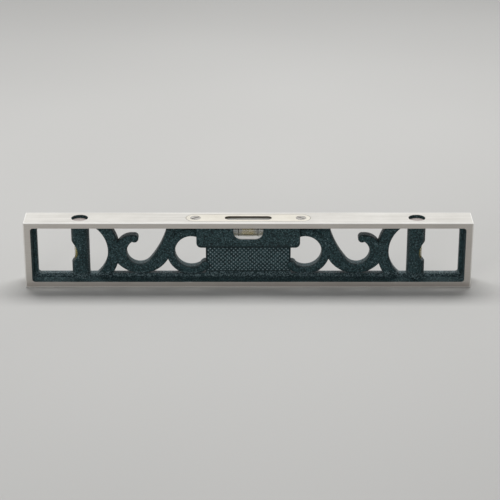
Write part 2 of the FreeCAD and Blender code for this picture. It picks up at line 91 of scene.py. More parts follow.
class Value:
    """A shader socket that takes part in Python sums."""

    def __init__(self, sheet: "Sheet", socket: bpy.types.NodeSocket) -> None:
        """Keep the socket and the sheet that it belongs to.

        Args:
            sheet: the material sheet that new nodes are added to.
            socket: the output socket that carries the value.
        """
        self.sheet = sheet
        self.socket = socket

    def output(self, name: str) -> "Value":
        """Another output of the same node.

        Args:
            name: the output's name.

        Returns:
            That output as a value.
        """
        return Value(self.sheet, self.socket.node.outputs[name])

    def maths(self, operation: str, *values: "Value | float") -> "Value":
        """One Math node.

        Args:
            operation: the Math node's operation.
            values: what goes into its sockets, in order.

        Returns:
            The node's result.
        """
        return self.sheet.node("ShaderNodeMath", {"operation": operation}, dict(enumerate(values)))

    def __add__(self, other: "Value | float") -> "Value":
        """Sum."""
        return self.maths("ADD", self, other)

    def __radd__(self, other: float) -> "Value":
        """Sum with a number on the left."""
        return self.maths("ADD", other, self)

    def __sub__(self, other: "Value | float") -> "Value":
        """Difference."""
        return self.maths("SUBTRACT", self, other)

    def __rsub__(self, other: float) -> "Value":
        """Difference from a number."""
        return self.maths("SUBTRACT", other, self)

    def __mul__(self, other: "Value | float") -> "Value":
        """Product."""
        return self.maths("MULTIPLY", self, other)

    def __rmul__(self, other: float) -> "Value":
        """Product with a number on the left."""
        return self.maths("MULTIPLY", other, self)

    def __abs__(self) -> "Value":
        """Size without sign."""
        return self.maths("ABSOLUTE", self)

    def largest(self, *others: "Value | float") -> "Value":
        """The largest of this value and others.

        Args:
            others: the values to compare with.

        Returns:
            The largest.
        """
        result = self
        for other in others:
            result = self.maths("MAXIMUM", result, other)
        return result

    def smallest(self, other: "Value | float") -> "Value":
        """The smaller of two values."""
        return self.maths("MINIMUM", self, other)

    def root(self) -> "Value":
        """Square root."""
        return self.maths("SQRT", self)

    def rise(self, low: float, high: float) -> "Value":
        """A soft step from 0 at low to 1 at high.

        Args:
            low: where the step starts.
            high: where it is done.

        Returns:
            The step, between 0 and 1.
        """
        settings = {"interpolation_type": "SMOOTHSTEP"}
        return self.sheet.node("ShaderNodeMapRange", settings, {0: self, 1: low, 2: high})

    def within(self, span: Span) -> "Value":
        """A soft band.

        Args:
            span: where it starts, where it is full, where it starts to fade and where it ends.

        Returns:
            The band, between 0 and 1.
        """
        start, full, fade, end = span
        return self.rise(start, full) * (1.0 - self.rise(fade, end))


class Sheet:
    """The node sheet of one material, with a Principled shader at its end."""

    def __init__(self, name: str) -> None:
        """Start an empty material.

        Args:
            name: the material's name.
        """
        self.material = bpy.data.materials.new(name)
        self.material.use_nodes = True
        self.tree = self.material.node_tree
        self.tree.nodes.clear()
        self.shader = self.tree.nodes.new("ShaderNodeBsdfPrincipled")
        self.end = self.tree.nodes.new("ShaderNodeOutputMaterial")
        self.tree.links.new(self.shader.outputs[0], self.end.inputs[0])

    def node(self, kind: str, settings: dict | None = None, inputs: dict | None = None,
             output: int | str = 0) -> Value:
        """Add one node.

        Args:
            kind: the node's type.
            settings: its settings, by name.
            inputs: numbers, colours or values for its sockets, by name or place.
            output: the output to hand back.

        Returns:
            That output as a value.
        """
        made = self.tree.nodes.new(kind)
        for name, setting in (settings or {}).items():
            setattr(made, name, setting)
        self.feed(made, inputs or {})
        return Value(self, made.outputs[output])

    def feed(self, node: bpy.types.Node, inputs: dict) -> None:
        """Set or link a node's sockets.

        Args:
            node: the node.
            inputs: numbers, colours or values by socket name or place.
        """
        for key, given in inputs.items():
            if isinstance(given, Value):
                self.tree.links.new(given.socket, node.inputs[key])
            else:
                node.inputs[key].default_value = given

    def finish(self, inputs: dict) -> bpy.types.Material:
        """Feed the Principled shader and hand the material over.

        Args:
            inputs: numbers, colours or values by socket name.

        Returns:
            The finished material.
        """
        self.feed(self.shader, inputs)
        return self.material

    def place(self) -> Value:
        """The point's place on the object, in metres."""
        return self.node("ShaderNodeTexCoord", output="Object")

    def parts(self, vector: Value) -> tuple[Value, Value, Value]:
        """A vector's three parts.

        Args:
            vector: the vector.

        Returns:
            Its X, Y and Z.
        """
        split = self.node("ShaderNodeSeparateXYZ", None, {0: vector})
        return split.output("X"), split.output("Y"), split.output("Z")

    def moved(self, vector: Value, offset: tuple[float, float, float]) -> Value:
        """A vector less an offset.

        Args:
            vector: the vector.
            offset: what is taken away from it.

        Returns:
            The difference.
        """
        return self.node("ShaderNodeVectorMath", {"operation": "SUBTRACT"}, {0: vector, 1: offset})

    def stretched(self, vector: Value, scale: tuple[float, float, float]) -> Value:
        """A vector scaled by a different number along each axis.

        Args:
            vector: the vector.
            scale: the three numbers.

        Returns:
            The scaled vector.
        """
        return self.node("ShaderNodeVectorMath", {"operation": "MULTIPLY"}, {0: vector, 1: scale})

    def noise(self, vector: Value, grain: float, detail: float = 2.0,
              roughness: float = 0.5) -> Value:
        """Smooth noise about 0.5.

        Args:
            vector: the place it is read at.
            grain: the size of its lumps, in metres.
            detail: how many finer layers it has.
            roughness: how strong the finer layers are.

        Returns:
            The noise.
        """
        inputs = {"Vector": vector, "Scale": 1.0 / grain, "Detail": detail, "Roughness": roughness}
        return self.node("ShaderNodeTexNoise", None, inputs)

    def blend(self, factor: Value | float, first: Value | Colour, second: Value | Colour) -> Value:
        """One colour turning into another.

        Args:
            factor: 0 for the first colour and 1 for the second.
            first: the first colour.
            second: the second colour.

        Returns:
            The mixed colour.
        """
        inputs = {0: factor, 6: first, 7: second}
        return self.node("ShaderNodeMix", {"data_type": "RGBA"}, inputs, output=2)

    def either(self, mask: Value, first: Value | float, second: Value | float) -> Value:
        """One number turning into another.

        Args:
            mask: 0 for the first number and 1 for the second.
            first: the first number.
            second: the second number.

        Returns:
            The mixed number.
        """
        return self.node("ShaderNodeMix", {"data_type": "FLOAT"}, {0: mask, 2: first, 3: second})

    def bump(self, height: Value, depth: float, normal: Value | None = None) -> Value:
        """A normal tilted by a height.

        Args:
            height: the height, between 0 and 1.
            depth: what a height of 1 stands for, in metres.
            normal: the normal of a coarser bump below it.

        Returns:
            The tilted normal.
        """
        inputs = {"Strength": 1.0, "Distance": depth, "Height": height}
        if normal is not None:
            inputs["Normal"] = normal
        return self.node("ShaderNodeBump", None, inputs)


@dataclass(frozen=True)
class GroundCasting:
    """Iron left bare where it was ground, on the casting's outer faces, and enamelled elsewhere."""

    length: float
    depth: float
    height: float
    iron_light: Colour = (0.70, 0.68, 0.64, 1.0)
    iron_dark: Colour = (0.52, 0.50, 0.46, 1.0)
    # painted shade: the colour the end and broad faces are darkened towards
    painted_side_shade: Colour = (0.36, 0.32, 0.29, 1.0)
    # painted shade: the near-black of the pebble hollows, the creases and the underside of the boss
    enamel_shade: Colour = (0.002, 0.010, 0.012, 1.0)
    enamel_mid: Colour = (0.028, 0.072, 0.079, 1.0)
    # painted highlight: the pale teal of the lit pebble crests
    enamel_highlight: Colour = (0.17, 0.235, 0.255, 1.0)
    pore: Colour = (0.16, 0.13, 0.11, 1.0)
    # worn edges with a painted highlight: the pale colour of the band along the chamfers
    rub_highlight: Colour = (0.86, 0.85, 0.82, 1.0)
    metallic: float = 0.45
    specular: float = 0.3
    film: float = 0.3 * MM
    edge_break: float = 0.62 * MM
    rub_highlight_reach: float = 1.4 * MM
    stray: float = 0.35 * MM
    stray_grain: float = 1.1 * MM
    line_grain: float = 0.9 * MM
    band_grain: float = 6.0 * MM
    cloud_grain: float = 40.0 * MM
    pore_grain: float = 0.8 * MM
    pebble_grain: float = 1.6 * MM
    grit_grain: float = 0.8 * MM
    flow_grain: float = 14.0 * MM
    pebble_relief: float = 2.2 * MM
    line_relief: float = 0.05 * MM
    # heights over which the painted shade on the end and broad faces grows darker towards the
    # bottom
    low_shade_span: tuple[float, float] = (3.0 * MM, 8.0 * MM)
    # heights of the lower rim, where the enamel gets extra painted highlights
    rim: Span = (6.5 * MM, 8.5 * MM, 12.5 * MM, 15.5 * MM)
    # depths across the casting of the creases by the web, which get painted shade
    crease_shade: Span = (4.05 * MM, 4.35 * MM, 4.6 * MM, 5.6 * MM)
    # where the painted shadow under the boss falls
    boss_face: tuple[float, float] = (9.2 * MM, 9.6 * MM)
    boss_foot: Span = (41.0 * MM, 42.5 * MM, 42.5 * MM, 47.0 * MM)
    # strength of the painted shade in the creases and under the boss
    hollow_shade_strength: float = 0.8

    def bare(self, sheet: Sheet, place: Value) -> tuple[Value, Value, Value, Value]:
        """Where the iron is bare.

        Args:
            sheet: the material's sheet.
            place: the point's place.

        Returns:
            The mask of all bare iron, of the two end faces, of the two broad faces, and of the
            edges rubbed bright and given a painted highlight.
        """
        x, y, z = sheet.parts(place)
        ends = abs(x) - self.length / 2
        sides = abs(y) - self.depth / 2
        top = z - self.height
        base = -1.0 * z
        outer = ends.largest(sides, top, base)
        chamfers = (sides + top).largest(sides + base, sides + ends, ends + top, ends + base)
        wander = (sheet.noise(place, self.stray_grain, 3.0, 0.7) - 0.5) * self.stray
        face = (outer + wander).rise(-self.film * 1.15, -self.film * 0.7)
        edge = chamfers.rise(-self.edge_break * 1.05, -self.edge_break * 0.95)
        # worn edges with a painted highlight: a band along the chamfers
        rub_highlight = (chamfers + wander * 1.5).rise(-self.rub_highlight_reach, -self.edge_break)
        end_faces = ends.rise(-self.film, -self.film * 0.5)
        broad_faces = sides.rise(-self.film, -self.film * 0.5)
        return face.largest(edge), end_faces, broad_faces, rub_highlight

    def iron(self, sheet: Sheet, place: Value, end_face: Value, broad_face: Value,
             edge: Value) -> tuple[Value, Value, Value]:
        """The ground iron, with painted shade on its end and broad faces that grows darker towards
        the bottom, and painted highlights on its rubbed edges.

        Args:
            sheet: the material's sheet.
            place: the point's place.
            end_face: the mask of the two end faces.
            broad_face: the mask of the two broad faces.
            edge: the mask of the edges rubbed bright and given a painted highlight.

        Returns:
            Its colour, its roughness and its height.
        """
        lengthwise = sheet.noise(sheet.stretched(place, LENGTHWISE), self.line_grain, 4.0, 0.7)
        crosswise = sheet.noise(sheet.stretched(place, CROSSWISE), self.line_grain, 4.0, 0.7)
        lines = sheet.either(end_face, lengthwise, crosswise)
        bands = sheet.noise(sheet.stretched(place, (0.05, 1.0, 1.0)), self.band_grain, 2.0)
        cloud = sheet.noise(place, self.cloud_grain, 3.0, 0.6)
        tone = (lines * 0.55 + bands * 0.3 + cloud * 0.35).rise(0.35, 0.85)
        colour = sheet.blend(tone, self.iron_dark, self.iron_light)
        height = sheet.parts(place)[2]
        # painted shade on the end and broad faces, darker towards the bottom and patchy along the
        # bands
        low = 1.0 - height.rise(*self.low_shade_span)
        side_shade = end_face.largest(broad_face) * (0.42 + low * 0.35) * (0.55 + bands * 0.9)
        colour = sheet.blend(side_shade.smallest(1.0), colour, self.painted_side_shade)
        pores = sheet.noise(place, self.pore_grain, 2.0, 0.6).rise(0.66, 0.78)
        colour = sheet.blend(pores * 0.35, colour, self.pore)
        # painted highlight on the rubbed edges
        colour = sheet.blend(edge * 0.8, colour, self.rub_highlight)
        roughness = 0.30 + lines * 0.22
        return colour, roughness, lines

    def rim_light_and_hollow_shade(self, sheet: Sheet, place: Value) -> tuple[Value, Value]:
        """Where painted highlights brighten the lower rim and where painted shade darkens the
        hollows.

        Args:
            sheet: the material's sheet.
            place: the point's place.

        Returns:
            The mask of the lower rim, which gets painted highlights, and that of the creases and
            the foot of the boss, which get painted shade.
        """
        _, across, level = sheet.parts(place)
        across = abs(across)
        # the lower rim, which gets painted highlights
        rim = level.within(self.rim)
        # painted shade in the creases by the web and a painted shadow under the boss
        crease_shade = across.within(self.crease_shade) * (1.0 - rim)
        boss_shadow = across.rise(*self.boss_face) * level.within(self.boss_foot)
        return rim, crease_shade.largest(boss_shadow)

    def enamel(self, sheet: Sheet, place: Value) -> tuple[Value, Value, Value]:
        """The pebbly enamel, with painted highlights on its pebble crests and along the lower rim,
        and painted shade in its pebble hollows, creases and under the boss.

        Args:
            sheet: the material's sheet.
            place: the point's place.

        Returns:
            Its colour, its roughness and its height.
        """
        pebbles = sheet.noise(place, self.pebble_grain, 3.0, 0.6)
        grit = sheet.noise(place, self.grit_grain, 2.0, 0.6)
        flow = sheet.noise(place, self.flow_grain, 3.0, 0.6)
        rim, hollow_shade = self.rim_light_and_hollow_shade(sheet, place)
        height = pebbles * 0.7 + grit * 0.3
        # painted shade in the pebble hollows
        colour = sheet.blend(height.rise(0.38, 0.58), self.enamel_shade, self.enamel_mid)
        # painted highlights on the pebble crests, more along the lower rim
        painted_highlight = (height + rim * 0.07).rise(0.55, 0.68) * (0.35 + flow * 0.9 + rim * 0.3)
        colour = sheet.blend(painted_highlight.smallest(1.0), colour, self.enamel_highlight)
        # painted shade in the creases and under the boss
        colour = sheet.blend(hollow_shade * self.hollow_shade_strength, colour, self.enamel_shade)
        roughness = 0.30 + flow * 0.16 + grit * 0.10
        return colour, roughness, height

    def make(self) -> bpy.types.Material:
        """Make the material."""
        sheet = Sheet("ground_iron_and_enamel")
        place = sheet.place()
        bare, end_face, broad_face, edge = self.bare(sheet, place)
        iron, iron_roughness, lines = self.iron(sheet, place, end_face, broad_face, edge)
        enamel, enamel_roughness, pebbles = self.enamel(sheet, place)
        coarse = sheet.bump(pebbles * (1.0 - bare), self.pebble_relief)
        fine = sheet.bump(lines * bare, self.line_relief, coarse)
        return sheet.finish({
            "Base Color": sheet.blend(bare, enamel, iron),
            "Metallic": bare * (1.0 + edge) * self.metallic,
            "Roughness": sheet.either(bare, enamel_roughness, iron_roughness),
            "Specular IOR Level": self.specular,
            "Normal": fine,
        })


@dataclass(frozen=True)
class Enamel:
    """Enamel for the checkering, with painted highlights on the crests and painted shade in the
    roots.
    """

    crest: float
    root: float
    # painted shade in the roots of the diamonds
    root_shade: Colour = (0.001, 0.006, 0.008, 1.0)
    mid: Colour = (0.026, 0.066, 0.074, 1.0)
    # painted highlight on the crests of the diamonds
    painted_highlight: Colour = (0.30, 0.38, 0.41, 1.0)
    specular: float = 0.3
    pebble_grain: float = 0.9 * MM
    patch_grain: float = 9.0 * MM
    relief: float = 0.4 * MM

    def make(self) -> bpy.types.Material:
        """Make the material."""
        sheet = Sheet("checkered_enamel")
        place = sheet.place()
        rise = abs(sheet.parts(place)[1]).rise(self.root, self.crest)
        pebbles = sheet.noise(place, self.pebble_grain, 3.0, 0.65)
        patches = sheet.noise(place, self.patch_grain, 2.0)
        # painted shade darkening towards the roots
        colour = sheet.blend(rise, self.root_shade, self.mid)
        # painted highlights on the crests
        crest_highlight = rise.rise(0.75, 1.0) * (0.25 + patches * 0.9) * (0.5 + pebbles)
        return sheet.finish({
            "Base Color": sheet.blend(crest_highlight.smallest(1.0), colour, self.painted_highlight),
            "Roughness": 0.30 + pebbles * 0.2,
            "Specular IOR Level": self.specular,
            "Normal": sheet.bump(pebbles, self.relief),
        })


@dataclass(frozen=True)
class BrushedSteel:
    """Steel brushed along X, with a dark line where it meets its seat, and painted shade on its
    walls below the top face.
    """

    end_centre: float
    end_radius: float
    top: float
    light: Colour = (0.78, 0.745, 0.66, 1.0)
    dark: Colour = (0.62, 0.58, 0.50, 1.0)
    joint: Colour = (0.10, 0.075, 0.055, 1.0)
    # painted shade on the plate's side and slot walls
    wall_shade: Colour = (0.12, 0.11, 0.09, 1.0)
    metallic: float = 0.85
    seam: tuple[float, float] = (0.6 * MM, 0.15 * MM)
    # depths below the top face where the painted shade on the walls begins
    skin: tuple[float, float] = (0.45 * MM, 0.15 * MM)
    line_grain: float = 0.5 * MM
    cloud_grain: float = 25.0 * MM
    relief: float = 0.04 * MM

    def make(self) -> bpy.types.Material:
        """Make the material."""
        sheet = Sheet("brushed_cover_steel")
        place = sheet.place()
        x, y, z = sheet.parts(place)
        over = (abs(x) - self.end_centre).largest(0.0)
        radius = (over * over + y * y).root()
        seam = radius.rise(*(self.end_radius - inset for inset in self.seam))
        lines = sheet.noise(sheet.stretched(place, LENGTHWISE), self.line_grain, 4.0, 0.7)
        cloud = sheet.noise(place, self.cloud_grain, 3.0, 0.6)
        colour = sheet.blend((lines * 0.7 + cloud * 0.4).rise(0.35, 0.75), self.dark, self.light)
        # painted shade on everything below the top face
        top = z.rise(*(self.top - depth for depth in self.skin))
        colour = sheet.blend(top, self.wall_shade, colour)
        return sheet.finish({
            "Base Color": sheet.blend(seam * 0.85, colour, self.joint),
            "Metallic": self.metallic,
            "Roughness": 0.26 + lines * 0.2,
            "Normal": sheet.bump(lines, self.relief),
        })


@dataclass(frozen=True)
class TurnedSteel:
    """Steel faced on a lathe about an upright axis, with a dark line round its head."""

    name: str
    centre: tuple[float, float, float]
    radius: float
    light: Colour
    dark: Colour
    metallic: float = 0.85
    joint: Colour = (0.05, 0.04, 0.035, 1.0)
    seam: tuple[float, float] = (0.5 * MM, 0.1 * MM)
    ring_grain: float = 0.35 * MM
    cloud_grain: float = 3.0 * MM
    relief: float = 0.05 * MM

    def make(self) -> bpy.types.Material:
        """Make the material."""
        sheet = Sheet(self.name)
        place = sheet.moved(sheet.place(), self.centre)
        x, y, z = sheet.parts(place)
        reach = (x * x + y * y).root()
        flat = sheet.node("ShaderNodeCombineXYZ", None, {0: reach, 2: z})
        rings = sheet.noise(flat, self.ring_grain, 3.0, 0.7)
        cloud = sheet.noise(place, self.cloud_grain, 3.0, 0.6)
        colour = sheet.blend((rings * 0.5 + cloud * 0.6).rise(0.35, 0.75), self.dark, self.light)
        seam = reach.rise(*(self.radius - inset for inset in self.seam))
        return sheet.finish({
            "Base Color": sheet.blend(seam * 0.85, colour, self.joint),
            "Metallic": self.metallic,
            "Roughness": 0.28 + rings * 0.2,
            "Normal": sheet.bump(rings, self.relief),
        })


@dataclass(frozen=True)
class Powdery:
    """A matt white or pale filling, such as enamelled vial beds and plaster."""

    name: str
    light: Colour
    shade: Colour
    grain: float
    roughness: float
    relief: float = 0.04 * MM

    def make(self) -> bpy.types.Material:
        """Make the material."""
        sheet = Sheet(self.name)
        place = sheet.place()
        grain = sheet.noise(place, self.grain, 4.0, 0.6)
        cloud = sheet.noise(place, self.grain * 8.0, 2.0)
        tone = (grain * 0.6 + cloud * 0.5).rise(0.35, 0.75)
        return sheet.finish({
            "Base Color": sheet.blend(tone, self.shade, self.light),
            "Roughness": self.roughness + grain * 0.15,
            "Normal": sheet.bump(grain, self.relief),
        })


@dataclass(frozen=True)
class Glass:
    """Clear glass or gas: it mirrors more the flatter it is seen, and is seen through elsewhere."""

    name: str
    tint: Colour
    mirror: float
    rim: float
    roughness: float
    swirl_grain: float = 5.0 * MM

    def make(self) -> bpy.types.Material:
        """Make the material."""
        sheet = Sheet(self.name)
        place = sheet.place()
        swirl = sheet.noise(place, self.swirl_grain, 2.0)
        facing = sheet.node("ShaderNodeLayerWeight", None, {"Blend": 0.5}, output="Facing")
        rim = facing * facing * facing
        return sheet.finish({
            "Base Color": self.tint,
            "Metallic": 1.0,
            "Roughness": self.roughness + swirl * 0.03,
            "Alpha": self.mirror + rim * self.rim,
        })


@dataclass(frozen=True)
class Spirit:
    """Dyed spirit, strongest near the middle, and made denser by painted shade in a layer at its
    surface, or glass that it shows through.
    """

    name: str
    colour: Colour
    shade: Colour
    reach: float
    fade: float
    strong: float
    weak: float
    surface: float
    # depths of the layer at the top where painted shade makes the spirit denser
    top_shade_layer: tuple[float, float] = (2.5 * MM, 0.5 * MM)
    swirl_grain: float = 4.0 * MM

    def make(self) -> bpy.types.Material:
        """Make the material."""
        sheet = Sheet(self.name)
        place = sheet.place()
        swirl = sheet.noise(place, self.swirl_grain, 2.0)
        x, _, z = sheet.parts(place)
        outward = abs(x).rise(self.reach, self.reach + self.fade)
        facing = sheet.node("ShaderNodeLayerWeight", None, {"Blend": 0.5}, output="Facing")
        # painted shade: the spirit is denser in a layer at its top
        below_top_shade = 1.0 - z.rise(*(self.surface - depth for depth in self.top_shade_layer))
        depth = sheet.either(outward, self.strong * (1.0 - below_top_shade * 0.4), self.weak)
        return sheet.finish({
            "Base Color": sheet.blend(swirl.rise(0.35, 0.65), self.colour, self.shade),
            "Roughness": 0.05 + swirl * 0.05,
            "Alpha": (depth + facing * 0.2 + (swirl - 0.5) * 0.1).smallest(1.0),
        })


@dataclass(frozen=True)
class LinePaint:
    """Black paint of the reading lines."""

    dark: Colour = (0.010, 0.010, 0.011, 1.0)
    dusty: Colour = (0.035, 0.032, 0.030, 1.0)
    grain: float = 0.4 * MM

    def make(self) -> bpy.types.Material:
        """Make the material."""
        sheet = Sheet("line_paint")
        grain = sheet.noise(sheet.place(), self.grain, 3.0, 0.6)
        return sheet.finish({
            "Base Color": sheet.blend(grain.rise(0.4, 0.7), self.dark, self.dusty),
            "Roughness": 0.4 + grain * 0.2,
        })


@dataclass(frozen=True)
class FloorPaint:
    """The plain pale floor."""

    light: Colour = (0.54, 0.535, 0.52, 1.0)
    shade: Colour = (0.50, 0.495, 0.48, 1.0)
    roughness: float = 0.75
    cloud_grain: float = 0.9

    def make(self) -> bpy.types.Material:
        """Make the material."""
        sheet = Sheet("floor_paint")
        cloud = sheet.noise(sheet.place(), self.cloud_grain, 2.0)
        return sheet.finish({
            "Base Color": sheet.blend(cloud.rise(0.3, 0.7), self.shade, self.light),
            "Roughness": self.roughness,
        })


def clear_selection() -> None:
    """Leave object mode with nothing selected."""
    if bpy.context.object and bpy.context.object.mode != "OBJECT":
        bpy.ops.object.mode_set(mode="OBJECT")
    bpy.ops.object.select_all(action="DESELECT")


def paint(node: str, material: bpy.types.Material) -> None:
    """Give a CAD node its finish.

    Args:
        node: the node's name.
        material: its material.
    """
    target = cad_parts[node]
    if not target.material_slots:
        target.data.materials.append(material)
    for place in target.material_slots:
        place.material = material
    log.info("dressed %s in %s", node, material.name)


def hand_over(piece: bpy.types.Object, name: str, material: bpy.types.Material, body: str) -> None:
    """Name a finished piece, paint it and fix it to its body.

    Args:
        piece: the piece, with its place in its mesh.
        name: its name.
        material: its material.
        body: the body that it moves with.
    """
    piece.name = name
    piece.data.name = name
    piece.data.materials.clear()
    piece.data.materials.append(material)
    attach(piece, body)
    log.info("built %s with %d faces", name, len(piece.data.polygons))


def ring(centre: Vector, lie: Lie, radius: float, width: float,
         thickness: float) -> bpy.types.Object:
    """A closed flat ring, spun from a small rectangle.

    Args:
        centre: the middle of the ring.
        lie: the way the ring's axis points.
        radius: its outer radius.
        width: its size along its axis.
        thickness: its size across the wall.

    Returns:
        The ring, with its place in its mesh.
    """
    clear_selection()
    bpy.ops.mesh.primitive_plane_add(size=1.0, location=(0, 0, 0), rotation=(math.pi / 2, 0, 0))
    made = bpy.context.object
    size = lie.along * width + lie.across * thickness
    made.scale = (size.x, size.z, 1.0)
    made.location = centre + lie.across * (radius - thickness / 2)
    bpy.ops.object.transform_apply(location=True, rotation=True, scale=True)
    bpy.ops.object.mode_set(mode="EDIT")
    bpy.ops.mesh.select_all(action="SELECT")
    bpy.ops.mesh.spin(steps=72, angle=math.tau, center=centre, axis=lie.along)
    bpy.ops.mesh.select_all(action="SELECT")
    bpy.ops.mesh.remove_doubles(threshold=0.002 * MM)
    bpy.ops.mesh.delete_loose()
    bpy.ops.mesh.normals_make_consistent(inside=False)
    bpy.ops.object.mode_set(mode="OBJECT")
    bpy.ops.object.shade_smooth_by_angle(angle=math.radians(40))
    return made


@dataclass
class CastFrame:
    """The cast scrollwork frame and the checkering in its middle panel."""

    field_half_width: float = 41.9 * MM
    field_bottom: float = 15.0 * MM
    field_top: float = 42.0 * MM
    field_depth: float = 3.5 * MM
    pitch: float = 3.05 * MM
    cells: int = 28
    groove: float = 0.22 * MM
    flank: float = 0.85 * MM
    crest: float = 0.75 * MM
    backing: float = 0.3 * MM

    def dress(self) -> None:
        """Paint the casting."""
        low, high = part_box("frame_casting")
        finish = GroundCasting(length=high.x - low.x, depth=high.y - low.y, height=high.z)
        paint("frame_casting", finish.make())

    def build_checkering(self, face: Face, material: bpy.types.Material) -> None:
        """Build one face's field of raised diamonds.

        Args:
            face: the broad face that it lies on.
            material: the finish.
        """
        middle = (self.field_bottom + self.field_top) / 2
        clear_selection()
        bpy.ops.mesh.primitive_grid_add(
            x_subdivisions=self.cells, y_subdivisions=self.cells, size=self.cells * self.pitch,
            location=(0, 0, 0), rotation=(0, 0, math.radians(45)))
        field = bpy.context.object
        bpy.ops.object.transform_apply(location=True, rotation=True, scale=True)
        bpy.ops.object.mode_set(mode="EDIT")
        bpy.ops.mesh.select_all(action="SELECT")
        bpy.ops.mesh.inset(thickness=self.groove, depth=0.0, use_individual=True)
        bpy.ops.mesh.inset(thickness=self.flank, depth=self.crest, use_individual=True)
        self.trim(middle)
        bpy.ops.mesh.select_all(action="SELECT")
        bpy.ops.mesh.region_to_loop()
        bpy.ops.mesh.extrude_region_move(TRANSFORM_OT_translate={"value": (0, 0, -self.backing)})
        bpy.ops.mesh.edge_face_add()
        bpy.ops.mesh.select_all(action="SELECT")
        bpy.ops.mesh.normals_make_consistent(inside=False)
        bpy.ops.object.mode_set(mode="OBJECT")
        field.rotation_euler = (math.pi / 2, 0, 0 if face is Face.FRONT else math.pi)
        field.location = (0, face.value * self.field_depth, middle)
        bpy.ops.object.transform_apply(location=True, rotation=True, scale=True)
        hand_over(field, f"checkering_{face.word}", material, "level")

    def trim(self, middle: float) -> None:
        """Cut the field being edited to its four sides.

        Args:
            middle: the height of the field's centre line.
        """
        half_height = self.field_top - middle
        for x, y in ((1, 0), (-1, 0), (0, 1), (0, -1)):
            point = (x * self.field_half_width, y * half_height, 0)
            bpy.ops.mesh.select_all(action="SELECT")
            bpy.ops.mesh.bisect(plane_co=point, plane_no=(x, y, 0), clear_outer=True)

    def build(self) -> None:
        """Dress the casting and build both fields."""
        self.dress()
        enamel = Enamel(crest=self.field_depth + self.crest, root=self.field_depth).make()
        for face in Face:
            self.build_checkering(face, enamel)


@dataclass
class Cover:
    """The cover plate over the main vial and its two screws."""

    screw_light: Colour = (0.55, 0.53, 0.50, 1.0)
    screw_dark: Colour = (0.22, 0.20, 0.18, 1.0)

    def build(self) -> None:
        """Dress the plate and the screws."""
        low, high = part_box("cover_plate")
        radius = (high.y - low.y) / 2
        finish = BrushedSteel(end_centre=high.x - radius, end_radius=radius, top=high.z)
        paint("cover_plate", finish.make())
        for side in Side:
            self.dress_screw(side)

    def dress_screw(self, side: Side) -> None:
        """Paint one screw with rings about its own axis.

        Args:
            side: the end that it is at.
        """
        node = f"cover_screw_{side.word}"
        low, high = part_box(node)
        centre = ((low.x + high.x) / 2, (low.y + high.y) / 2, high.z)
        finish = TurnedSteel(
            name=f"turned_screw_steel_{side.word}", centre=centre, radius=(high.x - low.x) / 2,
            light=self.screw_light, dark=self.screw_dark)
        paint(node, finish.make())


@dataclass
class VialFinishes:
    """The finishes that the three vials share."""

    glass: bpy.types.Material = field(init=False)
    spirit: bpy.types.Material = field(init=False)
    olive_spirit: bpy.types.Material = field(init=False)
    olive_glass: bpy.types.Material = field(init=False)
    gas: bpy.types.Material = field(init=False)
    plaster: bpy.types.Material = field(init=False)
    bed: bpy.types.Material = field(init=False)
    lines: bpy.types.Material = field(init=False)

    def __post_init__(self) -> None:
        """Make the materials."""
        self.glass = Glass(
            name="vial_glass", tint=(0.93, 0.97, 0.96, 1.0), mirror=0.12, rim=0.75,
            roughness=0.03).make()
        self.gas = Glass(
            name="vial_gas", tint=(0.96, 0.96, 0.93, 1.0), mirror=0.16, rim=0.80,
            roughness=0.04).make()
        self.spirit = Spirit(
            name="amber_spirit", colour=(0.60, 0.43, 0.07, 1.0), shade=(0.70, 0.55, 0.14, 1.0),
            reach=4.0 * MM, fade=4.0 * MM, strong=0.55, weak=0.06, surface=62.9 * MM).make()
        self.olive_spirit = Spirit(
            name="olive_spirit", colour=(0.36, 0.29, 0.04, 1.0), shade=(0.46, 0.39, 0.08, 1.0),
            reach=1.0, fade=1.0, strong=0.72, weak=0.72, surface=51.7 * MM).make()
        self.olive_glass = Spirit(
            name="olive_glass", colour=(0.38, 0.31, 0.05, 1.0), shade=(0.50, 0.44, 0.12, 1.0),
            reach=1.0, fade=1.0, strong=0.50, weak=0.50, surface=57.5 * MM).make()
        self.plaster = Powdery(
            name="packing_plaster", light=(0.80, 0.77, 0.70, 1.0), shade=(0.62, 0.58, 0.50, 1.0),
            grain=0.5 * MM, roughness=0.8).make()
        self.bed = Powdery(
            name="bed_white", light=(0.93, 0.92, 0.89, 1.0), shade=(0.86, 0.85, 0.82, 1.0),
            grain=1.2 * MM, roughness=0.45).make()
        self.lines = LinePaint().make()


@dataclass
class MainVial:
    """The level vial in its white bed, with its two reading lines."""

    finishes: VialFinishes
    line_place: float = 10.0 * MM
    line_width: float = 0.7 * MM
    line_film: float = 0.05 * MM

    def build(self) -> None:
        """Dress the vial and build its lines."""
        paint("main_vial_bed", self.finishes.bed)
        paint("main_vial_glass", self.finishes.glass)
        paint("main_vial_spirit", self.finishes.spirit)
        paint("main_vial_bubble", self.finishes.gas)
        for side in Side:
            paint(f"main_vial_pad_{side.word}", self.finishes.plaster)
            self.build_line(side)

    def build_line(self, side: Side) -> None:
        """Build one reading line round the glass.

        Args:
            side: the side of the middle that it is on.
        """
        low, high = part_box("main_vial_glass")
        centre = (low + high) / 2
        centre.x = side.value * self.line_place
        radius = (high.z - low.z) / 2 + self.line_film
        line = ring(centre, Lie.LEVEL, radius, self.line_width, 2 * self.line_film)
        hand_over(line, f"main_vial_line_{side.word}", self.finishes.lines, "level")


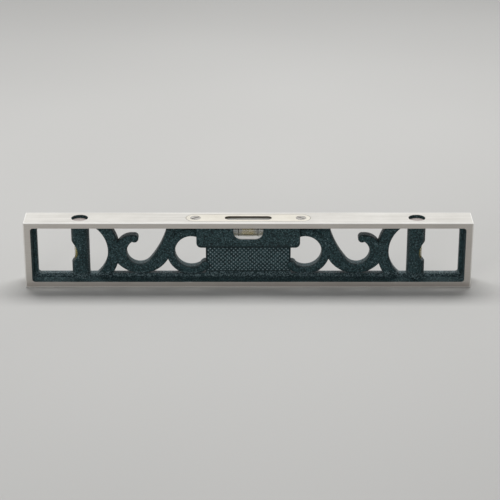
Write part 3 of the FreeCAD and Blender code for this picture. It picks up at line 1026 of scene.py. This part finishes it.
@dataclass
class PlumbVial:
    """One upright vial in its post, with its packing, seat and plug."""

    side: Side
    finishes: VialFinishes
    line_gap: float = 16.0 * MM
    line_width: float = 0.7 * MM
    line_film: float = 0.05 * MM
    plug_light: Colour = (0.62, 0.56, 0.53, 1.0)
    plug_dark: Colour = (0.40, 0.35, 0.33, 1.0)

    def node(self, part: str) -> str:
        """The full name of one of this vial's nodes."""
        return f"plumb_{part}_{self.side.word}"

    def build(self) -> None:
        """Dress the vial and build its lines."""
        paint(self.node("vial_glass"), self.finishes.olive_glass)
        paint(self.node("vial_spirit"), self.finishes.olive_spirit)
        paint(self.node("vial_bubble"), self.finishes.gas)
        paint(self.node("vial_seat"), self.finishes.plaster)
        paint(self.node("vial_packing"), self.finishes.plaster)
        self.dress_plug()
        for place, word in ((-0.5, "lower"), (0.5, "upper")):
            self.build_line(place, word)

    def dress_plug(self) -> None:
        """Paint the plug over the vial."""
        low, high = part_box(self.node("plug"))
        centre = ((low.x + high.x) / 2, (low.y + high.y) / 2, high.z)
        finish = TurnedSteel(
            name=f"plug_metal_{self.side.word}", centre=centre, radius=(high.x - low.x) / 2,
            light=self.plug_light, dark=self.plug_dark, metallic=0.5)
        paint(self.node("plug"), finish.make())

    def build_line(self, place: float, word: str) -> None:
        """Build one reading line round the glass.

        Args:
            place: how far from the middle it is, in gaps between the lines.
            word: the line's name.
        """
        low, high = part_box(self.node("vial_glass"))
        centre = (low + high) / 2
        centre.z += place * self.line_gap
        radius = (high.x - low.x) / 2 + self.line_film
        line = ring(centre, Lie.UPRIGHT, radius, self.line_width, 2 * self.line_film)
        hand_over(line, self.node(f"line_{word}"), self.finishes.lines, "level")


@dataclass(frozen=True)
class Lamp:
    """One soft lamp that faces the object."""

    name: str
    place: tuple[float, float, float]
    size: tuple[float, float]
    power: float

    def hang(self) -> None:
        """Hang the lamp."""
        light = bpy.data.lights.new(self.name, "AREA")
        light.shape = "RECTANGLE"
        light.size, light.size_y = self.size
        light.energy = self.power
        hung = bpy.data.objects.new(self.name, light)
        bpy.context.collection.objects.link(hung)
        hung.location = self.place
        hung.rotation_euler = (-Vector(self.place)).to_track_quat("-Z", "Y").to_euler()


@dataclass
class Studio:
    """The floor, the lamps, the world and the camera."""

    floor_size: float = 24.0
    floor_drop: float = 0.1 * MM
    camera_aim: tuple[float, float, float] = (0.0018, 0.0, 0.0357)
    camera_reach: float = 1.85
    camera_elevation: float = 23.2
    lens: float = 129.6
    sensor: float = 36.0
    clip: tuple[float, float] = (0.05, 60.0)
    room_colour: Colour = (0.98, 0.99, 1.0, 1.0)
    room_light: float = 0.24
    room_seen: float = 0.85
    key: Lamp = Lamp("key_lamp", (0.0, 0.6, 1.45), (1.5, 0.5), 23.0)
    fill: Lamp = Lamp("fill_lamp", (-0.6, -1.7, 0.65), (0.8, 0.8), 8.0)

    def build(self) -> None:
        """Build the studio."""
        self.build_floor()
        self.light_room()
        self.key.hang()
        self.fill.hang()
        self.set_camera()

    def build_floor(self) -> None:
        """Lay the floor just under the base."""
        clear_selection()
        bpy.ops.mesh.primitive_plane_add(size=self.floor_size, location=(0, 0, -self.floor_drop))
        bpy.ops.object.transform_apply(location=True, rotation=True, scale=True)
        floor = bpy.context.object
        floor.name = "floor"
        floor.data.materials.append(FloorPaint().make())

    def light_room(self) -> None:
        """Light the room from all round, and show it pale to the eye, to metal and to glass."""
        world = bpy.data.worlds.new("room")
        bpy.context.scene.world = world
        world.use_nodes = True
        tree = world.node_tree
        tree.nodes.clear()
        path = tree.nodes.new("ShaderNodeLightPath")
        seen = path.outputs["Is Camera Ray"]
        for name in ("Is Glossy Ray", "Is Transmission Ray"):
            both = tree.nodes.new("ShaderNodeMath")
            both.operation = "MAXIMUM"
            tree.links.new(seen, both.inputs[0])
            tree.links.new(path.outputs[name], both.inputs[1])
            seen = both.outputs[0]
        mix = tree.nodes.new("ShaderNodeMixShader")
        tree.links.new(seen, mix.inputs[0])
        for place, strength in ((1, self.room_light), (2, self.room_seen)):
            glow = tree.nodes.new("ShaderNodeBackground")
            glow.inputs["Color"].default_value = self.room_colour
            glow.inputs["Strength"].default_value = strength
            tree.links.new(glow.outputs[0], mix.inputs[place])
        end = tree.nodes.new("ShaderNodeOutputWorld")
        tree.links.new(mix.outputs[0], end.inputs[0])

    def set_camera(self) -> None:
        """Set the camera up."""
        lens = bpy.data.cameras.new("camera")
        lens.lens = self.lens
        lens.sensor_width = self.sensor
        lens.clip_start, lens.clip_end = self.clip
        camera = bpy.data.objects.new("camera", lens)
        bpy.context.collection.objects.link(camera)
        lift = math.radians(self.camera_elevation)
        back = Vector((0.0, -math.cos(lift), math.sin(lift)))
        camera.location = Vector(self.camera_aim) + back * self.camera_reach
        camera.rotation_euler = (-back).to_track_quat("-Z", "Y").to_euler()
        bpy.context.scene.camera = camera


def main() -> None:
    """Build and dress the level, piece by piece."""
    logging.basicConfig(level=logging.INFO, format="%(name)s: %(message)s")
    bpy.context.scene.view_settings.view_transform = "Standard"
    CastFrame().build()
    Cover().build()
    finishes = VialFinishes()
    MainVial(finishes).build()
    for side in Side:
        PlumbVial(side, finishes).build()
    Studio().build()


if __name__ == "__main__":
    main()
